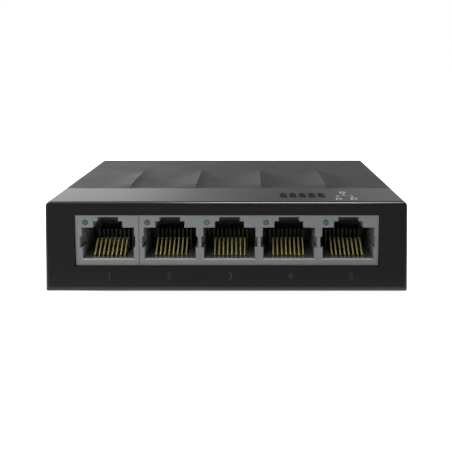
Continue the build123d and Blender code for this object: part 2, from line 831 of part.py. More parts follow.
save(make_inlet_body(), "power_inlet_body")
save(make_inlet_pin(), "power_inlet_pin")
save(make_inlet_leaf(), "power_inlet_leaf")
save(make_inlet_terminals(), "power_inlet_terminals")

save(make_switch_chip(), "switch_chip")
save(make_chip_leads(), "switch_chip_leads")
save(make_crystal(), "clock_crystal")
save(make_power_inductor(), "power_inductor")
save(make_electrolytics(), "electrolytic_capacitors")
save(make_box_part(small_outline, regulator_at, 0.1, 0.2), "voltage_regulator")
save(make_box_part(small_outline, memory_at, 0.1, 0.2), "memory_chip")
capacitor_places = [(-15.6, 7.0 + 1.6 * i) for i in range(6)] + [(3.6, 7.0 + 1.6 * i) for i in range(6)]
save(make_chip_parts(capacitor_places, (1.6, 0.8, 0.8)), "chip_capacitors")
resistor_places = [(port_x + 1.7 * i, -8.2) for port_x in ports[1:] for i in (0, 1, 2)]
save(make_chip_parts(resistor_places, (0.8, 1.0, 0.35)), "chip_resistors")
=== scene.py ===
"""Looks of a five-port desktop network switch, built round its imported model."""

import logging
import math
from dataclasses import dataclass, field
from enum import Enum
from typing import Union

import bmesh
import bpy
from mathutils import Matrix, Vector


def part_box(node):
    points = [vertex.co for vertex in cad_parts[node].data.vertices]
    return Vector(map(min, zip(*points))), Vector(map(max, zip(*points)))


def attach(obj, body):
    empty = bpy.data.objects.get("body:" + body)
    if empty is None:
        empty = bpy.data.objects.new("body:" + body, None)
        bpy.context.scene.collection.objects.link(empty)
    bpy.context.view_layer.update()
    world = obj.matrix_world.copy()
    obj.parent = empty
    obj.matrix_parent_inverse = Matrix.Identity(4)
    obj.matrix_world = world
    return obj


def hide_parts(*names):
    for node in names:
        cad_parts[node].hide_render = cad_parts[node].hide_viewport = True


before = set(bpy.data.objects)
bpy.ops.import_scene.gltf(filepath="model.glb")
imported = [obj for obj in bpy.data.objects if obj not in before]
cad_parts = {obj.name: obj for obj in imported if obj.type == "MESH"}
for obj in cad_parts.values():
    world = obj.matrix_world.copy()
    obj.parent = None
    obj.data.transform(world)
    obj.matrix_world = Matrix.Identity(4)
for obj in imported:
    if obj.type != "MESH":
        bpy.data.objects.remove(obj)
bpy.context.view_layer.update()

LOG = logging.getLogger("network_switch")
MM = 0.001
MAIN_BODY = "chassis"
WELD_DISTANCE = 0.0005 * MM
SHARP_ANGLE = math.radians(38)
WHITE = (1.0, 1.0, 1.0, 1.0)

Value = Union[float, int, str, bool, tuple, Vector]
Wire = Union[Value, bpy.types.NodeSocket]


# ---------------------------------------------------------------- node helpers


class Graph:
    """A node tree while it is being wired."""

    def __init__(self, tree: bpy.types.NodeTree) -> None:
        """Keeps the tree that the nodes go into.

        Args:
            tree: the tree of a material, a world or a group.
        """
        self.tree = tree

    def add(self, kind: str, inputs: dict[Union[str, int], Wire], **settings: Value) -> bpy.types.Node:
        """Adds a node, sets its properties and feeds its inputs.

        Args:
            kind: the node's type name.
            inputs: a value or a socket for each input, by name or by number.
            settings: the node's own properties.

        Returns:
            The new node.
        """
        node = self.tree.nodes.new(kind)
        for name, value in settings.items():
            setattr(node, name, value)
        for key, value in inputs.items():
            self.feed(node.inputs[key], value)
        return node

    def feed(self, socket: bpy.types.NodeSocket, value: Wire) -> None:
        """Links a socket to another one, or sets its value.

        Args:
            socket: the input to feed.
            value: an output socket, or the value itself.
        """
        if isinstance(value, bpy.types.NodeSocket):
            self.tree.links.new(value, socket)
        else:
            socket.default_value = value

    def math(self, operation: str, *values: Wire) -> bpy.types.NodeSocket:
        """Works out one number from others.

        Args:
            operation: the Math node's operation.
            values: its operands.

        Returns:
            The result's socket.
        """
        return self.add("ShaderNodeMath", dict(enumerate(values)), operation=operation).outputs[0]

    def noise(self, vector: Wire, scale: Wire, detail: float = 2.0) -> bpy.types.NodeSocket:
        """Adds a noise texture.

        Args:
            vector: where it is read.
            scale: features in a metre.
            detail: how many octaves it has.

        Returns:
            The socket of its value, from 0 to 1.
        """
        inputs = {"Vector": vector, "Scale": scale, "Detail": detail}
        return self.add("ShaderNodeTexNoise", inputs).outputs["Fac"]

    def span(self, value: Wire, low: Wire, high: Wire, to_low: Wire, to_high: Wire) -> bpy.types.NodeSocket:
        """Maps one range onto another with soft ends.

        Args:
            value: the number to map.
            low: where the range starts.
            high: where it ends.
            to_low: what the start becomes.
            to_high: what the end becomes.

        Returns:
            The mapped value's socket.
        """
        inputs = {"Value": value, "From Min": low, "From Max": high, "To Min": to_low, "To Max": to_high}
        return self.add("ShaderNodeMapRange", inputs, interpolation_type="SMOOTHSTEP").outputs["Result"]

    def facing_up(self, low: float, high: float) -> bpy.types.NodeSocket:
        """Masks what faces up.

        Args:
            low: the normal's Z below which nothing counts.
            high: the normal's Z above which everything does.

        Returns:
            The mask's socket, from 0 to 1.
        """
        normal = self.add("ShaderNodeNewGeometry", {}).outputs["Normal"]
        return self.span(self.add("ShaderNodeSeparateXYZ", {0: normal}).outputs[2], low, high, 0.0, 1.0)

    def blend(self, factor: Wire, first: Wire, second: Wire) -> bpy.types.NodeSocket:
        """Mixes two colours.

        Args:
            factor: 0 for the first, 1 for the second.
            first: a colour.
            second: a colour.

        Returns:
            The mixed colour's socket.
        """
        node = self.add("ShaderNodeMix", {0: factor}, data_type="RGBA")
        self.feed(node.inputs[6], first)
        self.feed(node.inputs[7], second)
        return node.outputs[2]


# ---------------------------------------------------------------- shared effects


class Effect(Enum):
    """The effects that several finishes share, each a node group."""

    GRAIN = "moulded_grain"
    MOTTLE = "soft_mottle"
    DRAWN = "drawn_lines"
    DUST = "settled_dust"


class EffectLibrary:
    """Builds each effect's node group once and hands it to every material that uses it."""

    COARSE_SHARE = 0.11

    def __init__(self) -> None:
        """Starts with no groups built."""
        self.groups: dict[Effect, bpy.types.NodeTree] = {}
        self.makers = {
            Effect.GRAIN: self._make_grain,
            Effect.MOTTLE: self._make_mottle,
            Effect.DRAWN: self._make_drawn,
            Effect.DUST: self._make_dust,
        }

    def place(self, graph: Graph, effect: Effect, inputs: dict[Union[str, int], Wire]) -> bpy.types.Node:
        """Puts an effect into a material.

        Args:
            graph: the material's graph.
            effect: which effect.
            inputs: what feeds its sockets.

        Returns:
            The group node.
        """
        if effect not in self.groups:
            self.groups[effect] = self.makers[effect]()
        node = graph.add("ShaderNodeGroup", {}, node_tree=self.groups[effect])
        for key, value in inputs.items():
            graph.feed(node.inputs[key], value)
        return node

    @staticmethod
    def _open(
        effect: Effect, sockets_in: dict[str, float], sockets_out: tuple[str, ...]
    ) -> tuple[Graph, dict, dict]:
        """Makes an empty group with its sockets.

        Args:
            effect: the effect, whose name the group takes.
            sockets_in: the number inputs and what each starts at; a Vector input always comes first.
            sockets_out: the number outputs.

        Returns:
            The group's graph, its inputs by name, and its outputs by name.
        """
        tree = bpy.data.node_groups.new(effect.value, "ShaderNodeTree")
        tree.interface.new_socket("Vector", in_out="INPUT", socket_type="NodeSocketVector")
        for name, start in sockets_in.items():
            tree.interface.new_socket(name, in_out="INPUT", socket_type="NodeSocketFloat").default_value = start
        for name in sockets_out:
            tree.interface.new_socket(name, in_out="OUTPUT", socket_type="NodeSocketFloat")
        entry = tree.nodes.new("NodeGroupInput")
        leave = tree.nodes.new("NodeGroupOutput")
        return Graph(tree), entry.outputs, leave.inputs

    def _make_grain(self) -> bpy.types.NodeTree:
        """Makes the etched texture of moulded plastic: fine bumps over a coarser unevenness.

        Returns:
            The group, with Height and Tone from 0 to 1.
        """
        starts = {"Size": 0.3 * MM, "Unevenness": 0.3}
        graph, given, result = self._open(Effect.GRAIN, starts, ("Height", "Tone"))
        fine_scale = graph.math("DIVIDE", 1.0, given["Size"])
        coarse_scale = graph.math("DIVIDE", self.COARSE_SHARE, given["Size"])
        fine = graph.noise(given["Vector"], fine_scale, 1.5)
        coarse = graph.noise(given["Vector"], coarse_scale, 2.0)
        share = graph.math("MULTIPLY", coarse, given["Unevenness"])
        graph.feed(result["Height"], graph.math("ADD", fine, share))
        graph.feed(result["Tone"], graph.span(graph.math("ADD", fine, coarse), 0.6, 1.4, 0.0, 1.0))
        return graph.tree

    def _make_mottle(self) -> bpy.types.NodeTree:
        """Makes wide soft patches, for handling marks and uneven gloss.

        Returns:
            The group, with Factor from 0 to 1.
        """
        graph, given, result = self._open(Effect.MOTTLE, {"Size": 8 * MM}, ("Factor",))
        patches = graph.noise(given["Vector"], graph.math("DIVIDE", 1.0, given["Size"]), 4.0)
        graph.feed(result["Factor"], graph.span(patches, 0.3, 0.7, 0.0, 1.0))
        return graph.tree

    def _make_drawn(self) -> bpy.types.NodeTree:
        """Makes the fine parallel lines of drawn or stamped metal.

        Returns:
            The group, with Height and Tone from 0 to 1.
        """
        starts = {"Size": 0.1 * MM, "Along X": 1.0, "Along Y": 0.05, "Along Z": 0.05}
        graph, given, result = self._open(Effect.DRAWN, starts, ("Height", "Tone"))
        axes = {i: given[f"Along {axis}"] for i, axis in enumerate("XYZ")}
        stretch = graph.add("ShaderNodeCombineXYZ", axes)
        pulled = graph.add(
            "ShaderNodeVectorMath", {0: given["Vector"], 1: stretch.outputs[0]}, operation="MULTIPLY"
        )
        lines = graph.noise(pulled.outputs[0], graph.math("DIVIDE", 1.0, given["Size"]), 3.0)
        graph.feed(result["Height"], lines)
        graph.feed(result["Tone"], graph.span(lines, 0.25, 0.75, 0.0, 1.0))
        return graph.tree

    def _make_dust(self) -> bpy.types.NodeTree:
        """Makes a thin veil of dust that lies only on what faces up.

        Returns:
            The group, with Mask from 0 to 1.
        """
        graph, given, result = self._open(Effect.DUST, {"Size": 1.5 * MM, "Amount": 0.5}, ("Mask",))
        specks = graph.noise(given["Vector"], graph.math("DIVIDE", 1.0, given["Size"]), 5.0)
        lying = graph.math("MULTIPLY", graph.span(specks, 0.45, 0.75, 0.0, 1.0), graph.facing_up(0.5, 1.0))
        graph.feed(result["Mask"], graph.math("MULTIPLY", lying, given["Amount"]))
        return graph.tree


EFFECTS = EffectLibrary()


# ---------------------------------------------------------------- finishes


@dataclass(frozen=True)
class Tint:
    """A colour, as linear red, green and blue."""

    red: float
    green: float
    blue: float

    def rgba(self, factor: float = 1.0) -> tuple[float, float, float, float]:
        """Gives the colour, lighter or darker by a factor, with full opacity."""
        return (self.red * factor, self.green * factor, self.blue * factor, 1.0)


@dataclass(frozen=True)
class Finish:
    """What every finish has: a name, a colour and the way it becomes a material."""

    name: str
    tint: Tint

    def make(self) -> bpy.types.Material:
        """Builds the material.

        Returns:
            The material, ready to be put on a piece.
        """
        material = bpy.data.materials.new(self.name)
        material.use_nodes = True
        material.node_tree.nodes.clear()
        graph = Graph(material.node_tree)
        where = graph.add("ShaderNodeTexCoord", {}).outputs["Object"]
        shader = graph.add("ShaderNodeBsdfPrincipled", {})
        self.wire(graph, shader, where)
        graph.add("ShaderNodeOutputMaterial", {"Surface": shader.outputs[0]})
        return material

    def wire(self, graph: Graph, shader: bpy.types.Node, where: bpy.types.NodeSocket) -> None:
        """Feeds the shader; each finish has its own way.

        Args:
            graph: the material's graph.
            shader: its Principled shader.
            where: the place on the piece, in metres.
        """
        raise NotImplementedError


@dataclass(frozen=True)
class MouldedPlastic(Finish):
    """Plastic, rubber, resin or ceramic out of a mould.

    Where the shade factor is under 1, the piece gets painted shade, growing darker along Y between the two given
    depths, and its level faces below sill_top get a painted highlight over the first sill_depth behind
    sill_front.
    """

    roughness: float = 0.45
    roughness_spread: float = 0.06
    specular: float = 0.5
    grain_size: float = 0.25 * MM
    grain_depth: float = 0.006 * MM
    tone_spread: float = 0.12
    dust: float = 0.0
    # painted shade: how dark the colour grows inwards, and the span in Y over which it darkens
    inner_shade: float = 1.0
    inner_from: float = 0.0
    inner_to: float = 0.0
    # painted highlight: how much lighter the level sill is, and where the sill lies
    sill_light: float = 1.0
    sill_front: float = 0.0
    sill_depth: float = 0.9 * MM
    sill_top: float = 0.0
    sill_fade: float = 0.3 * MM
    dust_tint: Tint = Tint(0.30, 0.29, 0.27)

    def wire(self, graph: Graph, shader: bpy.types.Node, where: bpy.types.NodeSocket) -> None:
        """Feeds colour, gloss and relief from the grain, the mottle and the dust.

        Args:
            graph: the material's graph.
            shader: its Principled shader.
            where: the place on the piece, in metres.
        """
        grain = EFFECTS.place(graph, Effect.GRAIN, {"Vector": where, "Size": self.grain_size})
        mottle = EFFECTS.place(graph, Effect.MOTTLE, {"Vector": where})
        low, high = self.tint.rgba(1 - self.tone_spread), self.tint.rgba(1 + self.tone_spread)
        colour = graph.blend(grain.outputs["Tone"], low, high)
        if self.dust:
            veil = EFFECTS.place(graph, Effect.DUST, {"Vector": where, "Amount": self.dust})
            colour = graph.blend(veil.outputs["Mask"], colour, self.dust_tint.rgba())
        # painted shade inwards, and a painted highlight on the sill
        if self.inner_shade < 1.0:
            colour = self._shade_inside(graph, where, colour)
        graph.feed(shader.inputs["Base Color"], colour)
        gloss = graph.span(
            mottle.outputs["Factor"], 0.0, 1.0, self.roughness - self.roughness_spread,
            self.roughness + self.roughness_spread,
        )
        graph.feed(shader.inputs["Roughness"], gloss)
        shader.inputs["Specular IOR Level"].default_value = self.specular
        relief = graph.add("ShaderNodeBump", {"Height": grain.outputs["Height"], "Distance": self.grain_depth})
        graph.feed(shader.inputs["Normal"], relief.outputs[0])

    def _shade_inside(self, graph: Graph, where: Wire, colour: Wire) -> bpy.types.NodeSocket:
        """Paints shade into the colour inwards, and paints a highlight on the sill.

        Args:
            graph: the material's graph.
            where: the place on the piece, in metres.
            colour: the colour so far.

        Returns:
            The shaded colour's socket.
        """
        place = graph.add("ShaderNodeSeparateXYZ", {0: where})
        # painted shade: darker the further in along Y
        inside = graph.span(place.outputs[1], self.inner_from, self.inner_to, 0.0, 1.0)
        colour = graph.blend(inside, colour, self.tint.rgba(self.inner_shade))
        # painted highlight on the level faces just behind the sill's front
        edge = graph.span(place.outputs[1], self.sill_front, self.sill_front + self.sill_depth, 1.0, 0.0)
        low = graph.span(place.outputs[2], self.sill_top, self.sill_top + self.sill_fade, 1.0, 0.0)
        sill = graph.math("MULTIPLY", graph.math("MULTIPLY", graph.facing_up(0.5, 0.9), edge), low)
        return graph.blend(sill, colour, self.tint.rgba(self.sill_light))


@dataclass(frozen=True)
class CaseSkin(Finish):
    """The case's black plastic: a fine satin texture, with a polished strip along the front of the lid and
    painted sheen on the lid behind it.
    """

    # painted sheen: the satin lid wears a tint five times lighter than the walls, so the raking lamp lights its
    # waves
    lid_tint: Tint = Tint(0.030, 0.030, 0.031)
    strip_edge: float = 0.0
    strip_foot: float = 0.0
    satin_roughness: float = 0.50
    polished_roughness: float = 0.10
    specular: float = 0.5
    lid_specular: float = 0.13
    grain_size: float = 0.16 * MM
    grain_depth: float = 0.004 * MM
    edge_softness: float = 0.06 * MM
    polished_grain: float = 0.03
    dust_tint: Tint = Tint(0.25, 0.25, 0.24)

    def wire(self, graph: Graph, shader: bpy.types.Node, where: bpy.types.NodeSocket) -> None:
        """Feeds the shader, with less texture and more gloss on the polished strip.

        Args:
            graph: the material's graph.
            shader: its Principled shader.
            where: the place on the piece, in metres.
        """
        place = graph.add("ShaderNodeSeparateXYZ", {0: where})
        soft = self.edge_softness
        ahead = graph.span(place.outputs[1], self.strip_edge - soft, self.strip_edge + soft, 1.0, 0.0)
        above = graph.span(place.outputs[2], self.strip_foot - soft, self.strip_foot + soft, 0.0, 1.0)
        polished = graph.math("MULTIPLY", ahead, above)
        textured = graph.math("SUBTRACT", 1.0, polished)
        # the satin lid behind the strip: it carries the painted sheen and the lid's lower specular
        satin_lid_painted_sheen = graph.math("MULTIPLY", graph.math("SUBTRACT", 1.0, ahead), above)
        grain = EFFECTS.place(
            graph, Effect.GRAIN, {"Vector": where, "Size": self.grain_size, "Unevenness": 0.5}
        )
        smears = EFFECTS.place(graph, Effect.MOTTLE, {"Vector": where, "Size": 11 * MM})
        veil = EFFECTS.place(graph, Effect.DUST, {"Vector": where, "Size": 0.5 * MM, "Amount": 0.012})
        body = graph.blend(grain.outputs["Tone"], self.tint.rgba(0.85), self.tint.rgba(1.15))
        # painted sheen: the lighter tint on the satin lid
        lid = graph.blend(grain.outputs["Tone"], self.lid_tint.rgba(0.9), self.lid_tint.rgba(1.1))
        body = graph.blend(satin_lid_painted_sheen, body, lid)
        graph.feed(shader.inputs["Base Color"], graph.blend(veil.outputs["Mask"], body, self.dust_tint.rgba()))
        satin = graph.span(
            smears.outputs["Factor"], 0.0, 1.0, self.satin_roughness - 0.03, self.satin_roughness + 0.03
        )
        shine = graph.span(
            smears.outputs["Factor"], 0.0, 1.0, self.polished_roughness - 0.02, self.polished_roughness + 0.03
        )
        satin_part = graph.math("MULTIPLY", satin, textured)
        shine_part = graph.math("MULTIPLY", shine, polished)
        graph.feed(shader.inputs["Roughness"], graph.math("ADD", satin_part, shine_part))
        mirror = graph.span(satin_lid_painted_sheen, 0.0, 1.0, self.specular, self.lid_specular)
        graph.feed(shader.inputs["Specular IOR Level"], mirror)
        rough_share = graph.math("ADD", textured, self.polished_grain)
        height = graph.math("MULTIPLY", grain.outputs["Height"], rough_share)
        relief = graph.add("ShaderNodeBump", {"Height": height, "Distance": self.grain_depth})
        graph.feed(shader.inputs["Normal"], relief.outputs[0])


@dataclass(frozen=True)
class DrawnMetal(Finish):
    """Bare or plated metal with the lines of its drawing or stamping."""

    roughness: float = 0.3
    line_size: float = 0.08 * MM
    line_depth: float = 0.002 * MM
    metal: float = 1.0
    along: tuple[float, float, float] = (1.0, 0.06, 0.06)
    tone_spread: float = 0.12
    tarnish: Tint = Tint(0.10, 0.08, 0.06)
    tarnish_share: float = 0.15

    def wire(self, graph: Graph, shader: bpy.types.Node, where: bpy.types.NodeSocket) -> None:
        """Feeds colour, gloss and relief from the drawn lines, with a little tarnish.

        Args:
            graph: the material's graph.
            shader: its Principled shader.
            where: the place on the piece, in metres.
        """
        lines = EFFECTS.place(graph, Effect.DRAWN, {
            "Vector": where, "Size": self.line_size,
            "Along X": self.along[0], "Along Y": self.along[1], "Along Z": self.along[2],
        })
        patches = EFFECTS.place(graph, Effect.MOTTLE, {"Vector": where, "Size": 1.2 * MM})
        clean = graph.blend(
            lines.outputs["Tone"], self.tint.rgba(1 - self.tone_spread), self.tint.rgba(1 + self.tone_spread)
        )
        dulled = graph.math("MULTIPLY", patches.outputs["Factor"], self.tarnish_share)
        graph.feed(shader.inputs["Base Color"], graph.blend(dulled, clean, self.tarnish.rgba()))
        gloss = graph.span(patches.outputs["Factor"], 0.0, 1.0, self.roughness * 0.85, self.roughness * 1.25)
        graph.feed(shader.inputs["Roughness"], gloss)
        shader.inputs["Metallic"].default_value = self.metal
        relief = graph.add("ShaderNodeBump", {"Height": lines.outputs["Height"], "Distance": self.line_depth})
        graph.feed(shader.inputs["Normal"], relief.outputs[0])


@dataclass(frozen=True)
class SignalLens(Finish):
    """A small clear-tinted lens, lit from behind and brightest at its middle."""

    centre: tuple[float, float, float] = (0.0, 0.0, 0.0)
    reach: float = 0.6 * MM
    glow: float = 0.5
    roughness: float = 0.22

    def wire(self, graph: Graph, shader: bpy.types.Node, where: bpy.types.NodeSocket) -> None:
        """Feeds the colour and the glow, which falls off from the lens's middle.

        Args:
            graph: the material's graph.
            shader: its Principled shader.
            where: the place on the piece, in metres.
        """
        away = graph.add("ShaderNodeVectorMath", {0: where, 1: self.centre}, operation="DISTANCE")
        core = graph.span(away.outputs["Value"], 0.0, self.reach, 1.0, 0.15)
        cloud = EFFECTS.place(graph, Effect.MOTTLE, {"Vector": where, "Size": 0.3 * MM})
        graph.feed(
            shader.inputs["Base Color"],
            graph.blend(cloud.outputs["Factor"], self.tint.rgba(0.85), self.tint.rgba(1.1)),
        )
        graph.feed(shader.inputs["Emission Color"], graph.blend(core, self.tint.rgba(0.2), self.tint.rgba(1.6)))
        shader.inputs["Emission Strength"].default_value = self.glow
        shader.inputs["Roughness"].default_value = self.roughness


@dataclass(frozen=True)
class SolderMask(Finish):
    """A circuit board's green lacquer over its copper runs and glass weave."""

    run_pitch: float = 1.1 * MM
    roughness: float = 0.35

    def wire(self, graph: Graph, shader: bpy.types.Node, where: bpy.types.NodeSocket) -> None:
        """Feeds lighter copper runs, the weave and the lacquer's gloss.

        Args:
            graph: the material's graph.
            shader: its Principled shader.
            where: the place on the piece, in metres.
        """
        scale = 1 / self.run_pitch
        cells = graph.add(
            "ShaderNodeTexVoronoi", {"Vector": where, "Scale": scale * 0.45}, distance="MANHATTAN", feature="F1"
        )
        runs = graph.span(cells.outputs["Distance"], 0.30, 0.36, 0.0, 1.0)
        weave = EFFECTS.place(graph, Effect.GRAIN, {"Vector": where, "Size": 0.2 * MM})
        ground = graph.blend(weave.outputs["Tone"], self.tint.rgba(0.8), self.tint.rgba(1.1))
        graph.feed(shader.inputs["Base Color"], graph.blend(runs, ground, self.tint.rgba(1.9)))
        mottle = EFFECTS.place(graph, Effect.MOTTLE, {"Vector": where})
        gloss = graph.span(mottle.outputs["Factor"], 0.0, 1.0, self.roughness - 0.05, self.roughness + 0.08)
        graph.feed(shader.inputs["Roughness"], gloss)
        height = graph.math("ADD", runs, graph.math("MULTIPLY", weave.outputs["Height"], 0.2))
        relief = graph.add("ShaderNodeBump", {"Height": height, "Distance": 0.012 * MM})
        graph.feed(shader.inputs["Normal"], relief.outputs[0])


# ---------------------------------------------------------------- mesh helpers


def pieces_material(piece: bpy.types.Object, material: bpy.types.Material) -> None:
    """Puts a material on every slot of a piece.

    Args:
        piece: the object.
        material: the material it wears.
    """
    if not piece.material_slots:
        piece.data.materials.append(material)
    for slot in piece.material_slots:
        slot.material = material


def dress_nodes(finish: Finish, *nodes: str) -> None:
    """Gives CAD nodes a finish.

    Args:
        finish: what they wear.
        nodes: their names.
    """
    material = finish.make()
    for node in nodes:
        pieces_material(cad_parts[node], material)
    LOG.info("%s: %s", finish.name, ", ".join(nodes))


def add_piece(
    name: str, shape: bmesh.types.BMesh, material: bpy.types.Material, body: str
) -> bpy.types.Object:
    """Turns a finished bmesh into a piece that rides on a body.

    Args:
        name: the piece's name.
        shape: its mesh, already in place; it is freed.
        material: what it wears.
        body: the body that it moves with.

    Returns:
        The piece.
    """
    bmesh.ops.remove_doubles(shape, verts=shape.verts, dist=WELD_DISTANCE)
    bmesh.ops.recalc_face_normals(shape, faces=shape.faces)
    mesh = bpy.data.meshes.new(name)
    shape.to_mesh(mesh)
    shape.free()
    mesh.polygons.foreach_set("use_smooth", [True] * len(mesh.polygons))
    mesh.set_sharp_from_angle(angle=SHARP_ANGLE)
    piece = bpy.data.objects.new(name, mesh)
    bpy.context.scene.collection.objects.link(piece)
    pieces_material(piece, material)
    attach(piece, body)
    LOG.info("made %s with %d faces", name, len(mesh.polygons))
    return piece


def add_plaque(
    shape: bmesh.types.BMesh, centre: Vector, size: tuple[float, float, float], corner: float
) -> None:
    """Adds a thin plate with rounded upright corners.

    Args:
        shape: the mesh it goes into.
        centre: the middle of the plate.
        size: its width, depth and thickness.
        corner: radius of its corners.
    """
    fitted = Matrix.Translation(centre) @ Matrix.Diagonal((*size, 1.0))
    made = bmesh.ops.create_cube(shape, size=1.0, matrix=fitted)
    upright = dict.fromkeys(
        edge for vert in made["verts"] for edge in vert.link_edges
        if abs(edge.verts[0].co.z - edge.verts[1].co.z) > size[2] * 0.5
    )
    bmesh.ops.bevel(
        shape, geom=list(upright), offset=corner, segments=4, profile=0.5, affect="EDGES", material=-1
    )


# ---------------------------------------------------------------- case


@dataclass
class Case:
    """Cover, base plate, feet, label and screws, with the port numbers and the sign on the strip."""

    strip_depth: float = 13.72 * MM
    strip_foot_drop: float = 1.1 * MM
    wave_rise: float = 0.42 * MM
    number_places: tuple[float, ...] = (-26.9, -13.2, 0.85, 14.7, 28.6)
    number_height: float = 1.7 * MM
    number_middle: float = 4.65 * MM
    number_proud: float = 0.05 * MM
    number_thinning: float = 0.022
    capital_share: float = 0.72
    toe_height: float = 1.45 * MM
    wall_lean: float = math.radians(1.1)
    ink_proud: float = 0.02 * MM
    tree_middle: float = 28.0 * MM
    tree_width: float = 5.0 * MM
    tree_box: float = 1.5 * MM
    tree_line: float = 0.3 * MM
    tree_rise: float = 2.9 * MM
    row_left: float = 13.4 * MM
    row_pitch: float = 2.25 * MM
    row_body: tuple[float, float] = (1.7 * MM, 3.4 * MM)
    row_key: tuple[float, float] = (0.8 * MM, 1.2 * MM)
    row_key_rise: float = 1.9 * MM
    sign_behind_front: float = 6.4 * MM
    black: Tint = field(default_factory=lambda: Tint(0.0060, 0.0060, 0.0066))

    def build(self) -> None:
        """Makes the raised numbers and the printed sign."""
        self._add_numbers()
        self._add_sign()

    def dress(self) -> None:
        """Gives the cover, base, feet, label and screws their finishes."""
        low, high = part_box("top_cover")
        dress_nodes(
            CaseSkin(
                "case_black", self.black, strip_edge=low.y + self.strip_depth,
                strip_foot=high.z - self.wave_rise - self.strip_foot_drop,
            ),
            "top_cover",
        )
        dress_nodes(
            MouldedPlastic(
                "base_black", self.black, roughness=0.5, grain_size=0.3 * MM, grain_depth=0.012 * MM
            ),
            "base_plate",
        )
        feet = [f"{place}_foot" for place in ("front_left", "front_right", "rear_left", "rear_right")]
        dress_nodes(
            MouldedPlastic(
                "foot_rubber", Tint(0.016, 0.016, 0.017), roughness=0.8, specular=0.3, grain_size=0.5 * MM,
                grain_depth=0.02 * MM, dust=0.2,
            ),
            *feet,
        )
        dress_nodes(
            MouldedPlastic(
                "blank_label", Tint(0.60, 0.61, 0.62), roughness=0.42, grain_size=0.12 * MM,
                grain_depth=0.003 * MM, tone_spread=0.05,
            ),
            "rating_label",
        )
        dress_nodes(
            DrawnMetal("screw_steel", Tint(0.50, 0.50, 0.52), roughness=0.32, along=(1.0, 1.0, 0.1)),
            "case_screws", "board_screws",
        )

    def _add_numbers(self) -> None:
        """Raises the numbers 1 to 5 on the front wall, under their sockets."""
        skin = MouldedPlastic(
            "number_black", Tint(0.045, 0.045, 0.046), roughness=0.4, grain_depth=0.001 * MM
        ).make()
        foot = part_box("top_cover")[0]
        upright = Matrix.Rotation(math.radians(90), 4, "X")
        wall = foot.y + (self.number_middle - foot.z - self.toe_height) * math.tan(self.wall_lean)
        for number, place in enumerate(self.number_places, start=1):
            letter = bpy.data.curves.new(f"number_{number}_line", "FONT")
            letter.body = str(number)
            letter.align_x = "CENTER"
            letter.size = self.number_height / self.capital_share
            letter.offset = -self.number_thinning * self.number_height
            letter.extrude = self.number_proud
            letter.resolution_u = 8
            flat = bpy.data.objects.new(f"number_{number}_flat", letter)
            bpy.context.scene.collection.objects.link(flat)
            bpy.context.view_layer.update()
            mesh = bpy.data.meshes.new_from_object(flat)
            bpy.data.objects.remove(flat)
            shape = bmesh.new()
            shape.from_mesh(mesh)
            bpy.data.meshes.remove(mesh)
            heights = [vert.co.y for vert in shape.verts]
            sides = [vert.co.x for vert in shape.verts]
            middle = Vector(((max(sides) + min(sides)) / 2, (max(heights) + min(heights)) / 2, 0))
            spot = Matrix.Translation((place * MM, wall, self.number_middle))
            lean = Matrix.Rotation(-self.wall_lean, 4, "X")
            bmesh.ops.transform(
                shape, matrix=spot @ lean @ upright @ Matrix.Translation(-middle), verts=shape.verts
            )
            add_piece(f"port_number_{number}", shape, skin, MAIN_BODY)

    def _add_sign(self) -> None:
        """Prints a plain sign on the strip: a row of five small ports, and a network tree."""
        low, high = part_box("top_cover")
        top = high.z - self.wave_rise
        middle_y = low.y + self.sign_behind_front
        layer = top + self.ink_proud / 2
        thick = self.ink_proud * 2
        dark = MouldedPlastic(
            "ink_dark", Tint(0.008, 0.008, 0.008), roughness=0.7, specular=0.1, grain_depth=0.001 * MM
        ).make()
        pale = MouldedPlastic(
            "ink_pale", Tint(0.16, 0.16, 0.165), roughness=0.7, specular=0.25, grain_depth=0.001 * MM
        ).make()
        row = bmesh.new()
        for i in range(5):
            x = self.row_left + i * self.row_pitch
            add_plaque(row, Vector((x, middle_y, layer)), (*self.row_body, thick), 0.3 * MM)
            add_plaque(row, Vector((x, middle_y + self.row_key_rise, layer)), (*self.row_key, thick), 0.15 * MM)
        add_piece("strip_port_row", row, dark, MAIN_BODY)
        tree = bmesh.new()
        box_size, line, rise = self.tree_box, self.tree_line, self.tree_rise
        spread = (self.tree_width - box_size) / 2
        for x, y in ((0.0, rise), (-spread, -rise), (spread, -rise)):
            add_plaque(
                tree, Vector((self.tree_middle + x, middle_y + y, layer)), (box_size, box_size * 1.2, thick),
                0.2 * MM,
            )
        add_plaque(tree, Vector((self.tree_middle, middle_y + rise / 2, layer)), (line, rise, thick), 0.1 * MM)
        beam = (2 * spread + line, line * 1.3, thick)
        add_plaque(tree, Vector((self.tree_middle, middle_y, layer)), beam, 0.1 * MM)
        for side in (-1, 1):
            add_plaque(
                tree, Vector((self.tree_middle + side * spread, middle_y - rise / 2, layer)),
                (line, rise, thick), 0.1 * MM,
            )
        add_piece("strip_tree_sign", tree, pale, MAIN_BODY)


# ---------------------------------------------------------------- sockets


